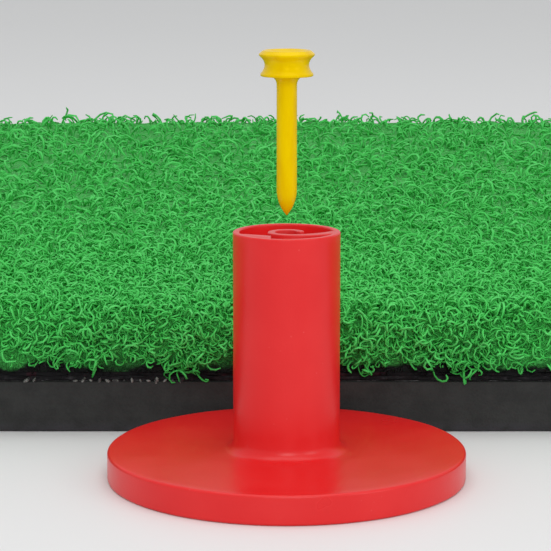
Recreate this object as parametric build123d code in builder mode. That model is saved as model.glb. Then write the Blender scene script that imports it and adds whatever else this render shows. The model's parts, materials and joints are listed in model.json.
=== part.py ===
from build123d import *

import os
from math import cos, exp, radians, sin

# Golf hitting mat with its loose rubber tee holder and plastic tee, in millimetres, +Z up.
# The origin is the centre of the mat's underside, on the floor. +X runs along the mat, and the tee
# holder stands on the floor in front of the mat's long edge, towards -Y, with the tee held over it.

# Mat: a foam slab with tufted turf glued on top, cut out as one sandwich.
MAT_LENGTH = 600.0
MAT_WIDTH = 330.0
MAT_CORNER_RADIUS = 3.0
FOAM_THICKNESS = 9.4
FOAM_EDGE_RADIUS = 0.4
GLUE_THICKNESS = 0.2
LATEX_THICKNESS = 0.8
CLOTH_THICKNESS = 0.8
TURF_SETBACK = 0.5  # the turf's cut edge behind the foam's
PILE_HEIGHT = 12.3
PILE_OVERHANG = 0.8  # the pile's leaning fibres beyond the foam's edge
PILE_SHOULDER_RADIUS = 3.0

# Hole punched through the whole mat, near its left end, for the tee holder's tube.
TEE_HOLE_RADIUS = 10.0
TEE_HOLE_FROM_END = 110.0

# Tee holder: one rubber moulding, a disc foot with a hollow tube standing on it.
HOLDER_FROM_MAT = 31.4  # from the mat's front edge to the tube's axis
FOOT_RADIUS = 30.4
FOOT_THICKNESS = 5.0
FOOT_EDGE_RADIUS = 0.45
TUBE_RADIUS = 9.0
TUBE_FILLET_RADIUS = 1.8
HOLDER_HEIGHT = 42.2
HOLLOW_RADIUS = 6.9
HOLLOW_EDGE_RADIUS = 0.4
WEB_BOTTOM = 37.5
RIM_INNER_RADIUS = 7.9
RIM_EDGE_RADIUS = 0.2
RECESS_DEPTH = 2.7

# Gripper in the recess: a tongue that leaves the rim and curls in clockwise round the tee's eye,
# and a wedge on the rim that closes the gap where the curl comes past.
EYE_RADIUS = 1.9
TONGUE_THICKNESS = 1.2
TONGUE_BELOW_RIM = 0.1
TONGUE_ROOT_ANGLE = -15.0
TONGUE_ROOT_SPREAD = 25.0
TONGUE_DECAY = 38.0  # degrees of turn in which the tongue's distance to its final radius falls to 1/e
TONGUE_TURN = 325.0
TONGUE_POINTS = 11
WEDGE_START_ANGLE = 195.0
WEDGE_STEP_X = -2.6
WEDGE_STEP_Y = -4.3
ROOT_OVERLAP = 0.4  # how far the tongue and the wedge run into the rim's wall

# Tee: a short spool-headed tee, held over the eye with its point just clear of the rim.
TEE_LENGTH = 27.5
TEE_LIFT = 2.7
STEM_RADIUS = 1.7
POINT_LENGTH = 4.3
POINT_FLAT_RADIUS = 0.12
POINT_SLOPE = 0.75  # radius gained for each millimetre of height, at the very point
HEAD_HEIGHT = 4.3
HEAD_FILLET_RADIUS = 1.35
LOWER_FLANGE_RADIUS = 4.4
UPPER_FLANGE_RADIUS = 4.65
WAIST_RADIUS = 3.7
FLANGE_EDGE_RADIUS = 0.25
WAIST_BELOW_TOP = 2.5
CUP_RADIUS = 3.7
CUP_DEPTH = 0.9

FOAM_TOP = FOAM_THICKNESS
GLUE_TOP = FOAM_TOP + GLUE_THICKNESS
LATEX_TOP = GLUE_TOP + LATEX_THICKNESS
CLOTH_TOP = LATEX_TOP + CLOTH_THICKNESS
TEE_HOLE_X = TEE_HOLE_FROM_END - MAT_LENGTH / 2
HOLDER_Y = -(MAT_WIDTH / 2 + HOLDER_FROM_MAT)
HOLDER_FLOOR = Plane(origin=(0, HOLDER_Y, 0))
HOLDER_SECTION = Plane(origin=(0, HOLDER_Y, 0), x_dir=(1, 0, 0), z_dir=(0, -1, 0))
HOLDER_AXIS = Axis((0, HOLDER_Y, 0), (0, 0, 1))


def polar(radius, angle):
    """The point at a radius and an angle in degrees from a sketch's X axis."""
    return (radius * cos(radians(angle)), radius * sin(radians(angle)))


def tongue_edge(final_radius, first_turn):
    """Points along one side of the tongue, from inside the rim's wall to its tip.

    The side crosses the rim's inner wall at first_turn, and starts a little before it, inside the wall.
    From there its distance to its final radius falls by a factor of e in every TONGUE_DECAY degrees.
    """
    reach = RIM_INNER_RADIUS - final_radius
    start = first_turn - TONGUE_DECAY * ROOT_OVERLAP / reach
    step = (TONGUE_TURN - start) / (TONGUE_POINTS - 1)
    turns = [start + step * index for index in range(TONGUE_POINTS)]
    return [
        polar(final_radius + reach * exp(-(turn - first_turn) / TONGUE_DECAY), TONGUE_ROOT_ANGLE - turn)
        for turn in turns
    ]


os.makedirs("parts", exist_ok=True)

# The bonded layers, from the foam up: name, underside and thickness.
flat_layers = [
    ("glue_film", FOAM_TOP, GLUE_THICKNESS),
    ("latex_coat", GLUE_TOP, LATEX_THICKNESS),
    ("backing_cloth", LATEX_TOP, CLOTH_THICKNESS),
]

with BuildPart() as foam_base:
    with BuildSketch():
        RectangleRounded(MAT_LENGTH, MAT_WIDTH, MAT_CORNER_RADIUS)
        with Locations((TEE_HOLE_X, 0)):
            Circle(TEE_HOLE_RADIUS, mode=Mode.SUBTRACT)
    extrude(amount=FOAM_THICKNESS)
    chamfer(foam_base.faces().sort_by(Axis.Z)[0].outer_wire().edges(), FOAM_EDGE_RADIUS)
foam_base.part.label = "foam_base"
export_step(foam_base.part, "parts/foam_base.step")

for name, underside, thickness in flat_layers:
    with BuildPart() as layer:
        with BuildSketch(Plane.XY.offset(underside)):
            RectangleRounded(
                MAT_LENGTH - 2 * TURF_SETBACK, MAT_WIDTH - 2 * TURF_SETBACK, MAT_CORNER_RADIUS
            )
            with Locations((TEE_HOLE_X, 0)):
                Circle(TEE_HOLE_RADIUS, mode=Mode.SUBTRACT)
        extrude(amount=thickness)
    layer.part.label = name
    export_step(layer.part, f"parts/{name}.step")

# The pile is one plain block of the tufts' outer shape, which leans out past the edges.
with BuildPart() as turf_pile:
    with BuildSketch(Plane.XY.offset(CLOTH_TOP)):
        RectangleRounded(
            MAT_LENGTH + 2 * PILE_OVERHANG,
            MAT_WIDTH + 2 * PILE_OVERHANG,
            MAT_CORNER_RADIUS + PILE_OVERHANG,
        )
        with Locations((TEE_HOLE_X, 0)):
            Circle(TEE_HOLE_RADIUS, mode=Mode.SUBTRACT)
    extrude(amount=PILE_HEIGHT)
    fillet(turf_pile.faces().sort_by(Axis.Z)[-1].outer_wire().edges(), PILE_SHOULDER_RADIUS)
turf_pile.part.label = "turf_pile"
export_step(turf_pile.part, "parts/turf_pile.step")

with BuildPart() as tee_holder:
    with BuildSketch(HOLDER_FLOOR):
        Circle(FOOT_RADIUS)
    extrude(amount=FOOT_THICKNESS)
    fillet(tee_holder.edges().filter_by(GeomType.CIRCLE), FOOT_EDGE_RADIUS)
    with BuildSketch(HOLDER_FLOOR.offset(FOOT_THICKNESS)):
        Circle(TUBE_RADIUS)
    extrude(amount=HOLDER_HEIGHT - FOOT_THICKNESS)
    foot_corner = tee_holder.edges().filter_by(GeomType.CIRCLE).filter_by_position(
        Axis.Z, FOOT_THICKNESS, FOOT_THICKNESS
    )
    fillet(foot_corner.sort_by(SortBy.RADIUS)[0], TUBE_FILLET_RADIUS)
    with BuildSketch(HOLDER_FLOOR.offset(HOLDER_HEIGHT)):
        Circle(RIM_INNER_RADIUS)
    extrude(amount=-RECESS_DEPTH, mode=Mode.SUBTRACT)
    fillet(tee_holder.edges().group_by(Axis.Z)[-1], RIM_EDGE_RADIUS)
    with BuildSketch(HOLDER_FLOOR):
        Circle(HOLLOW_RADIUS)
    extrude(amount=WEB_BOTTOM, mode=Mode.SUBTRACT)
    chamfer(tee_holder.faces().sort_by(Axis.Z)[0].inner_wires().edges(), HOLLOW_EDGE_RADIUS)
    with BuildSketch(HOLDER_FLOOR.offset(HOLDER_HEIGHT - RECESS_DEPTH)):
        with BuildLine():
            outer_side = tongue_edge(EYE_RADIUS + TONGUE_THICKNESS, 0.0)
            inner_side = tongue_edge(EYE_RADIUS, -TONGUE_ROOT_SPREAD)
            Spline(*outer_side)
            Line(outer_side[-1], inner_side[-1])
            Spline(*inner_side)
            Line(inner_side[0], outer_side[0])
        make_face()
    extrude(amount=RECESS_DEPTH - TONGUE_BELOW_RIM)
    with BuildSketch(HOLDER_FLOOR.offset(HOLDER_HEIGHT - RECESS_DEPTH)):
        with BuildLine():
            wall_radius = RIM_INNER_RADIUS + ROOT_OVERLAP
            wedge_start = polar(wall_radius, WEDGE_START_ANGLE)
            step_foot = (WEDGE_STEP_X, -((wall_radius**2 - WEDGE_STEP_X**2) ** 0.5))
            step_tip = (WEDGE_STEP_X, WEDGE_STEP_Y)
            RadiusArc(wedge_start, step_foot, -wall_radius)
            Line(step_foot, step_tip)
            Line(step_tip, wedge_start)
        make_face()
    extrude(amount=RECESS_DEPTH - RIM_EDGE_RADIUS)
    with BuildSketch(HOLDER_FLOOR.offset(WEB_BOTTOM)):
        Circle(EYE_RADIUS)
    extrude(amount=HOLDER_HEIGHT - WEB_BOTTOM, mode=Mode.SUBTRACT)
tee_holder.part.label = "tee_holder"
export_step(tee_holder.part, "parts/tee_holder.step")

with BuildPart() as tee:
    tip = HOLDER_HEIGHT + TEE_LIFT
    top = tip + TEE_LENGTH
    underside = top - HEAD_HEIGHT
    waist = top - WAIST_BELOW_TOP
    lower_edge = underside + 2 * FLANGE_EDGE_RADIUS
    upper_edge = top - 2 * FLANGE_EDGE_RADIUS - FLANGE_EDGE_RADIUS
    with BuildSketch(HOLDER_SECTION):
        with BuildLine():
            Line((0, top - CUP_DEPTH), (0, tip))
            Line((0, tip), (POINT_FLAT_RADIUS, tip))
            Spline(
                (POINT_FLAT_RADIUS, tip),
                (STEM_RADIUS, tip + POINT_LENGTH),
                tangents=[(POINT_SLOPE, 1), (0, 1)],
            )
            Line((STEM_RADIUS, tip + POINT_LENGTH), (STEM_RADIUS, underside - HEAD_FILLET_RADIUS))
            TangentArc(
                (STEM_RADIUS, underside - HEAD_FILLET_RADIUS),
                (STEM_RADIUS + HEAD_FILLET_RADIUS, underside),
                tangent=(0, 1),
            )
            Line(
                (STEM_RADIUS + HEAD_FILLET_RADIUS, underside),
                (LOWER_FLANGE_RADIUS - FLANGE_EDGE_RADIUS, underside),
            )
            ThreePointArc(
                (LOWER_FLANGE_RADIUS - FLANGE_EDGE_RADIUS, underside),
                (LOWER_FLANGE_RADIUS, underside + FLANGE_EDGE_RADIUS),
                (LOWER_FLANGE_RADIUS - FLANGE_EDGE_RADIUS / 2, lower_edge),
            )
            ThreePointArc(
                (LOWER_FLANGE_RADIUS - FLANGE_EDGE_RADIUS / 2, lower_edge),
                (WAIST_RADIUS, waist),
                (UPPER_FLANGE_RADIUS - FLANGE_EDGE_RADIUS / 2, upper_edge - 2 * FLANGE_EDGE_RADIUS),
            )
            ThreePointArc(
                (UPPER_FLANGE_RADIUS - FLANGE_EDGE_RADIUS / 2, upper_edge - 2 * FLANGE_EDGE_RADIUS),
                (UPPER_FLANGE_RADIUS, upper_edge - FLANGE_EDGE_RADIUS / 2),
                (UPPER_FLANGE_RADIUS - FLANGE_EDGE_RADIUS, upper_edge + FLANGE_EDGE_RADIUS),
            )
            Spline(
                (UPPER_FLANGE_RADIUS - FLANGE_EDGE_RADIUS, upper_edge + FLANGE_EDGE_RADIUS),
                (CUP_RADIUS, top),
                tangents=[(-1, 1), (-1, 0)],
            )
            TangentArc((0, top - CUP_DEPTH), (CUP_RADIUS, top), tangent=(1, 0))
        make_face()
    revolve(axis=HOLDER_AXIS)
tee.part.label = "tee"
export_step(tee.part, "parts/tee.step")
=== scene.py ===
"""Looks of a golf hitting mat with a loose rubber tee holder and a tee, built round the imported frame.

The mat is a foam slab with tufted turf glued on top. The turf is real geometry: a lumpy bed of packed
tufts under tens of thousands of curled fibres. Lengths are in metres, and places come from the frame.
"""

import json
import logging
import math
from dataclasses import dataclass, field
from enum import Enum
from typing import Callable, Iterable, Sequence

import bmesh
import bpy
import numpy as np
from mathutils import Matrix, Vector, noise

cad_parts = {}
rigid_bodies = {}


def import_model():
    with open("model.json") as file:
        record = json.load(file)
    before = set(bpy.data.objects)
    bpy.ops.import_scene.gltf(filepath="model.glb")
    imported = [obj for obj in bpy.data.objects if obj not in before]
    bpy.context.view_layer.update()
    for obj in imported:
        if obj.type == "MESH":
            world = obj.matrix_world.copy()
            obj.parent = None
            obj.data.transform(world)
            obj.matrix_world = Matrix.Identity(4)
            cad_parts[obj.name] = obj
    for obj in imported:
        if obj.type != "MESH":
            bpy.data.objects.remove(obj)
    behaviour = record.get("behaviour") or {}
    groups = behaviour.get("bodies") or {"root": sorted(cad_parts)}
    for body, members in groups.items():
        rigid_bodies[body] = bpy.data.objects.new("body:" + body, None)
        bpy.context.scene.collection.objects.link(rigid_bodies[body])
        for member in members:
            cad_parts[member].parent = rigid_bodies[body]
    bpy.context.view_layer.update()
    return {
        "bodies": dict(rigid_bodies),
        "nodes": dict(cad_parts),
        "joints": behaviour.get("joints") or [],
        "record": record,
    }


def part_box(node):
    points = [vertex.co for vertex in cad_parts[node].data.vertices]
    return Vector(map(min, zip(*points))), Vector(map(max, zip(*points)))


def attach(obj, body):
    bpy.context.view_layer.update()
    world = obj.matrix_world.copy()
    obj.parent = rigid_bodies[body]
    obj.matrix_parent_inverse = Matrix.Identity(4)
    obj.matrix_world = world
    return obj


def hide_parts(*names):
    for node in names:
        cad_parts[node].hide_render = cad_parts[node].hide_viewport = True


log = logging.getLogger("golf_mat")

# A millimetre, how near the axis counts as on it, and how near a height counts as level with it.
MM = 0.001
ON_AXIS = 1e-7
LEVEL = 1e-6

# A linear colour, the low and high end of a smooth step, a (radius, height) or (x, y) polyline, a closed
# line in space, and a small mesh as its corners, its faces and a number for each corner.
Colour = tuple[float, float, float]
Step = tuple[float, float]
Profile = list[tuple[float, float]]
Loop = list[Vector]
Shape = tuple[list[Vector], list[tuple], list[float]]


# --- Node trees ---------------------------------------------------------------------------------


class Number:
    """A number socket that adds Math nodes when it stands in an expression."""

    def __init__(self, nodes: "Nodes", socket: bpy.types.NodeSocket) -> None:
        """Wraps a socket.

        Args:
            nodes: The tree the socket belongs to.
            socket: An output that carries a number.
        """
        self.nodes = nodes
        self.socket = socket

    def _math(self, operation: str, first: "Number | float", second: "Number | float") -> "Number":
        """The result of one Math node."""
        node = self.nodes.add("ShaderNodeMath", {"operation": operation}, {0: first, 1: second})
        return Number(self.nodes, node.outputs[0])

    def __add__(self, other: "Number | float") -> "Number":
        """Sum."""
        return self._math("ADD", self, other)

    __radd__ = __add__

    def __sub__(self, other: "Number | float") -> "Number":
        """Difference."""
        return self._math("SUBTRACT", self, other)

    def __rsub__(self, other: float) -> "Number":
        """A plain number less this one."""
        return self._math("SUBTRACT", other, self)

    def __mul__(self, other: "Number | float") -> "Number":
        """Product."""
        return self._math("MULTIPLY", self, other)

    __rmul__ = __mul__

    def __pow__(self, exponent: float) -> "Number":
        """Power."""
        return self._math("POWER", self, exponent)

    def __abs__(self) -> "Number":
        """Size without sign."""
        return self._math("ABSOLUTE", self, 0.0)

    def __gt__(self, limit: "Number | float") -> "Number":
        """1 where this is over the limit, else 0."""
        return self._math("GREATER_THAN", self, limit)

    def __lt__(self, limit: "Number | float") -> "Number":
        """1 where this is under the limit, else 0."""
        return self._math("LESS_THAN", self, limit)


class Nodes:
    """Adds nodes to one shader or geometry tree."""

    def __init__(self, tree: bpy.types.NodeTree) -> None:
        """Keeps the tree that nodes are added to."""
        self.tree = tree

    def add(
        self,
        kind: str,
        settings: dict[str, object] | None = None,
        inputs: dict[int | str, object] | None = None,
    ) -> bpy.types.Node:
        """Adds one node.

        Args:
            kind: The node's type.
            settings: The node's properties, set before its inputs.
            inputs: A value, a socket or a Number for each input, by index or name.

        Returns:
            The new node.
        """
        node = self.tree.nodes.new(kind)
        for name, setting in (settings or {}).items():
            setattr(node, name, setting)
        for key, value in (inputs or {}).items():
            self.feed(node.inputs[key], value)
        return node

    def feed(self, target: bpy.types.NodeSocket, value: object) -> None:
        """Links a socket or a Number to an input, or sets the input's own value.

        Args:
            target: The input.
            value: What feeds it.
        """
        source = value.socket if isinstance(value, Number) else value
        if isinstance(source, bpy.types.NodeSocket):
            self.tree.links.new(source, target)
        else:
            target.default_value = source

    def number(self, node: bpy.types.Node, output: int | str = 0) -> Number:
        """Wraps a node's output as a Number."""
        return Number(self, node.outputs[output])

    def link(self, source: bpy.types.NodeSocket, target: bpy.types.NodeSocket) -> None:
        """Links two sockets."""
        self.tree.links.new(source, target)


class ShaderNodes(Nodes):
    """Adds the node patterns that the finishes share."""

    def place(self) -> bpy.types.NodeSocket:
        """Object coordinates, which are metres in the object's own frame."""
        return self.add("ShaderNodeTexCoord").outputs["Object"]

    def noise(
        self,
        size: float,
        detail: float = 2.0,
        roughness: float = 0.5,
        stretch: Colour = (1, 1, 1),
        distortion: float = 0.0,
    ) -> Number:
        """A noise of a feature size in metres, stretched along an axis if asked.

        Args:
            size: The size of one lump.
            detail: Octaves.
            roughness: How strong the finer octaves are.
            stretch: How many times shorter the pattern is along each axis.
            distortion: How much the pattern is swirled.

        Returns:
            The noise, from 0 to 1 about a half.
        """
        place = self.add(
            "ShaderNodeMapping", {"vector_type": "POINT"}, {"Vector": self.place(), "Scale": stretch}
        )
        node = self.add(
            "ShaderNodeTexNoise",
            {},
            {
                "Vector": place.outputs[0],
                "Scale": 1.0 / size,
                "Detail": detail,
                "Roughness": roughness,
                "Distortion": distortion,
            },
        )
        return self.number(node)

    def threads(self, size: float, width: float, swirl: float) -> Number:
        """Thin curling lines, 1 on a line and 0 off it, from the middle level of a swirled noise."""
        return 1.0 - self.ramp(abs(self.noise(size, 0.0, distortion=swirl) - 0.5), 0.0, width)

    def height(self) -> Number:
        """The height in the object's own frame, in metres."""
        return self.number(self.add("ShaderNodeSeparateXYZ", {}, {0: self.place()}), 2)

    def height_above(self, low: float, high: float) -> Number:
        """0 below a height of the object's own frame, 1 above another, and smooth between."""
        return self.ramp(self.height(), low, high)

    def cells(self, size: float) -> Number:
        """The distance to the nearest cell centre, from 0 up, for pores of a size in metres."""
        node = self.add("ShaderNodeTexVoronoi", {}, {"Vector": self.place(), "Scale": 1.0 / size})
        return self.number(node)

    def ramp(self, value: Number, low: float, high: float) -> Number:
        """A smooth step.

        Args:
            value: What is stepped.
            low: The value up to which the step is 0.
            high: The value from which it is 1.

        Returns:
            The step.
        """
        node = self.add(
            "ShaderNodeMapRange",
            {"interpolation_type": "SMOOTHSTEP"},
            {"Value": value, "From Min": low, "From Max": high},
        )
        return self.number(node)

    def attribute(self, name: str) -> Number:
        """A number stored on the mesh."""
        return self.number(self.add("ShaderNodeAttribute", {"attribute_name": name}), "Fac")

    def mix(self, factor: "Number | float", first: object, second: object) -> bpy.types.NodeSocket:
        """A mix of two colours.

        Args:
            factor: 0 for the first colour and 1 for the second.
            first: A colour, or a socket that carries one.
            second: The same.

        Returns:
            The mixed colour's socket.
        """
        colours = [c if isinstance(c, bpy.types.NodeSocket) else (*c, 1.0) for c in (first, second)]
        node = self.add("ShaderNodeMix", {"data_type": "RGBA"}, {0: factor, 6: colours[0], 7: colours[1]})
        return node.outputs[2]

    def bump(self, height: Number, depth: float, strength: float = 1.0) -> bpy.types.NodeSocket:
        """A Bump node's normal for a height of 0 to 1 over a depth in metres."""
        inputs = {"Height": height, "Distance": depth, "Strength": strength}
        return self.add("ShaderNodeBump", {}, inputs).outputs[0]


# --- Finishes -----------------------------------------------------------------------------------


@dataclass(frozen=True)
class Finish:
    """One surface finish. Its fields are linear colours, lengths in metres and shader values."""

    name: str
    specular: float = 0.5

    def material(self) -> bpy.types.Material:
        """Builds the material.

        Returns:
            A material whose Principled shader this finish has dressed.
        """
        made = bpy.data.materials.new(self.name)
        made.use_nodes = True
        shader = made.node_tree.nodes["Principled BSDF"].inputs
        shader["Specular IOR Level"].default_value = self.specular
        self.dress(ShaderNodes(made.node_tree), shader)
        return made

    def dress(self, nodes: ShaderNodes, shader: bpy.types.bpy_prop_collection) -> None:
        """Feeds the shader's inputs. Each finish says how.

        Args:
            nodes: Adds nodes to the material's tree.
            shader: The Principled shader's inputs.
        """
        raise NotImplementedError


@dataclass(frozen=True)
class MouldedRubber(Finish):
    """Satin moulded rubber, faintly mottled, with a fine mould grain and a dusting of pale specks."""

    colour: Colour = (0.72, 0.011, 0.012)
    worn: Colour = (0.76, 0.020, 0.020)
    dust: Colour = (0.85, 0.35, 0.33)
    mottle_size: float = 9 * MM
    grain_size: float = 0.35 * MM
    grain_depth: float = 0.018 * MM
    ripple_size: float = 5 * MM
    ripple_depth: float = 0.05 * MM
    speck_size: float = 1.7 * MM
    speck_edge: Step = (0.05, 0.12)
    speck_patches: Step = (0.42, 0.62)
    speck_share: float = 0.12
    speck_roughness: float = 0.2
    worn_patches: Step = (0.35, 0.75)
    worn_share: float = 0.6
    roughness: float = 0.25
    uneven: float = 0.10
    specular: float = 0.40

    def dress(self, nodes: ShaderNodes, shader: bpy.types.bpy_prop_collection) -> None:
        """Mottled colour, uneven gloss, and grain over soft ripples.

        Args:
            nodes: Adds nodes to the material's tree.
            shader: The Principled shader's inputs.
        """
        mottle = nodes.noise(self.mottle_size, 3.0)
        specks = 1.0 - nodes.ramp(nodes.cells(self.speck_size), *self.speck_edge)
        specks = specks * nodes.ramp(mottle, *self.speck_patches)
        worn = nodes.ramp(mottle, *self.worn_patches) * self.worn_share
        body = nodes.mix(worn, self.colour, self.worn)
        nodes.link(nodes.mix(specks * self.speck_share, body, self.dust), shader["Base Color"])
        rough = self.roughness + self.uneven * mottle + self.speck_roughness * specks
        nodes.feed(shader["Roughness"], rough)
        height = nodes.noise(self.grain_size, 2.0) * (self.grain_depth / self.ripple_depth)
        height = height + nodes.noise(self.ripple_size, 1.0)
        nodes.link(nodes.bump(height, self.ripple_depth), shader["Normal"])


@dataclass(frozen=True)
class MouldedPlastic(Finish):
    """Glossy injection-moulded plastic with faint flow marks."""

    colour: Colour = (0.82, 0.555, 0.0)
    deep: Colour = (0.74, 0.455, 0.0)
    flow_size: float = 2.5 * MM
    flow_depth: float = 0.02 * MM
    along_stem: Colour = (1.0, 1.0, 0.25)
    deep_patches: Step = (0.4, 0.8)
    roughness: float = 0.17
    uneven: float = 0.10
    specular: float = 0.4
    gleam: Colour = (1.0, 0.82, 0.03)

    def dress(self, nodes: ShaderNodes, shader: bpy.types.bpy_prop_collection) -> None:
        """Flow marks along the stem vary the colour and the gloss.

        Args:
            nodes: Adds nodes to the material's tree.
            shader: The Principled shader's inputs.
        """
        flow = nodes.noise(self.flow_size, 3.0, 0.6, self.along_stem)
        deep = nodes.ramp(flow, *self.deep_patches)
        nodes.link(nodes.mix(deep, self.colour, self.deep), shader["Base Color"])
        nodes.feed(shader["Roughness"], self.roughness + self.uneven * flow)
        nodes.link(nodes.bump(flow, self.flow_depth), shader["Normal"])
        shader["Specular Tint"].default_value = (*self.gleam, 1.0)


@dataclass(frozen=True)
class CutFoam(Finish):
    """Closed-cell foam, knife-cut, with burst cells, faint drag lines, and a paler, more purple band in
    patches along its lower edge.
    """

    colour: Colour = (0.011, 0.0115, 0.0112)
    pale: Colour = (0.030, 0.031, 0.030)
    # The dusty colour is the paler, more purple band along the lower edge.
    dusty: Colour = (0.036, 0.034, 0.042)
    cell_size: float = 0.42 * MM
    cell_depth: float = 0.06 * MM
    mottle_size: float = 4 * MM
    mottle_patches: Step = (0.32, 0.72)
    mottle_share: float = 0.65
    drag_size: float = 1.1 * MM
    along_cut: Colour = (0.08, 0.08, 1.0)
    fine_share: float = 0.25
    cell_relief: float = 0.7
    drag_relief: float = 0.6
    low_band_top: float = 2.2 * MM
    dust_patches: Step = (0.3, 0.6)
    low_band_share: float = 0.55
    roughness: float = 0.62
    uneven: float = 0.25
    specular: float = 0.35

    def dress(self, nodes: ShaderNodes, shader: bpy.types.bpy_prop_collection) -> None:
        """Cells and drag lines, paler in patches and by the floor.

        Args:
            nodes: Adds nodes to the material's tree.
            shader: The Principled shader's inputs.
        """
        cells = nodes.cells(self.cell_size)
        mottle = nodes.noise(self.mottle_size, 5.0, 0.7)
        drag = nodes.noise(self.drag_size, 1.0, 0.5, self.along_cut)
        shade = nodes.ramp(mottle, *self.mottle_patches) * self.mottle_share
        shade = shade + drag * self.fine_share + cells * self.fine_share
        body = nodes.mix(shade, self.colour, self.pale)
        # Paler and more purple in patches along the lowest few millimetres, towards the floor.
        low = 1.0 - nodes.height_above(0.4 * self.low_band_top, self.low_band_top)
        dust = low * nodes.ramp(mottle, *self.dust_patches)
        nodes.link(nodes.mix(dust * self.low_band_share, body, self.dusty), shader["Base Color"])
        nodes.feed(shader["Roughness"], self.roughness + self.uneven * mottle)
        relief = cells * self.cell_relief + drag * self.drag_relief
        nodes.link(nodes.bump(relief, self.cell_depth), shader["Normal"])


@dataclass(frozen=True)
class SetLatex(Finish):
    """The dark latex that locks the tufts, uneven and slightly shiny where it dried thick."""

    colour: Colour = (0.006, 0.006, 0.007)
    shiny: Colour = (0.014, 0.013, 0.016)
    patch_size: float = 1.6 * MM
    patch_depth: float = 0.25 * MM
    shiny_patches: Step = (0.4, 0.7)
    smooth_patches: Step = (0.45, 0.75)
    roughness: float = 0.9
    smoother: float = 0.45
    specular: float = 0.25

    def dress(self, nodes: ShaderNodes, shader: bpy.types.bpy_prop_collection) -> None:
        """Thick and thin patches.

        Args:
            nodes: Adds nodes to the material's tree.
            shader: The Principled shader's inputs.
        """
        patches = nodes.noise(self.patch_size, 3.0, 0.6)
        shiny = nodes.ramp(patches, *self.shiny_patches)
        nodes.link(nodes.mix(shiny, self.colour, self.shiny), shader["Base Color"])
        smooth = nodes.ramp(patches, *self.smooth_patches)
        nodes.feed(shader["Roughness"], self.roughness - self.smoother * smooth)
        nodes.link(nodes.bump(patches, self.patch_depth), shader["Normal"])


@dataclass(frozen=True)
class BackingWeave(Finish):
    """Black split-film cloth with a few odd coloured tapes."""

    colour: Colour = (0.006, 0.006, 0.007)
    odd: Colour = (0.030, 0.010, 0.015)
    odd_size: float = 3 * MM
    pitch: float = 1.2 * MM
    weave_depth: float = 0.2 * MM
    odd_patches: Step = (0.58, 0.66)
    odd_share: float = 0.8
    roughness: float = 0.7
    uneven: float = 0.2
    specular: float = 0.15

    def dress(self, nodes: ShaderNodes, shader: bpy.types.bpy_prop_collection) -> None:
        """Bands across both ways, at the tapes' pitch.

        Args:
            nodes: Adds nodes to the material's tree.
            shader: The Principled shader's inputs.
        """
        place = nodes.place()
        bands = [
            nodes.number(
                nodes.add(
                    "ShaderNodeTexWave",
                    {"wave_type": "BANDS", "bands_direction": direction},
                    {"Vector": place, "Scale": math.pi / 10.0 / self.pitch, "Distortion": 1.0},
                )
            )
            for direction in ("X", "Y")
        ]
        odd = nodes.ramp(nodes.noise(self.odd_size, 2.0), *self.odd_patches)
        nodes.link(nodes.mix(odd * self.odd_share, self.colour, self.odd), shader["Base Color"])
        nodes.feed(shader["Roughness"], self.roughness + self.uneven * bands[0] * bands[1])
        nodes.link(nodes.bump(bands[0] * bands[1], self.weave_depth), shader["Normal"])


@dataclass(frozen=True)
class DriedGlue(Finish):
    """Contact adhesive: a dark film full of foam dust, and cloudy beads where it was squeezed out."""

    film: Colour = (0.008, 0.008, 0.009)
    bead: Colour = (0.19, 0.19, 0.18)
    dusty: Colour = (0.020, 0.020, 0.021)
    dust_size: float = 0.9 * MM
    dust_depth: float = 0.12 * MM
    dust_patches: Step = (0.40, 0.62)
    on_bead: float = 0.25
    roughness: float = 0.35
    dust_roughness: float = 0.5

    def dress(self, nodes: ShaderNodes, shader: bpy.types.bpy_prop_collection) -> None:
        """Dusty and clear lumps on the beads, which are where the mesh has "along".

        Args:
            nodes: Adds nodes to the material's tree.
            shader: The Principled shader's inputs.
        """
        dust = nodes.ramp(nodes.noise(self.dust_size, 3.0, 0.6), *self.dust_patches)
        bead = nodes.mix(dust, self.bead, self.dusty)
        on_bead = nodes.attribute("along") > self.on_bead
        nodes.link(nodes.mix(on_bead, self.film, bead), shader["Base Color"])
        nodes.feed(shader["Roughness"], self.roughness + self.dust_roughness * dust)
        nodes.link(nodes.bump(dust, self.dust_depth), shader["Normal"])


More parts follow.
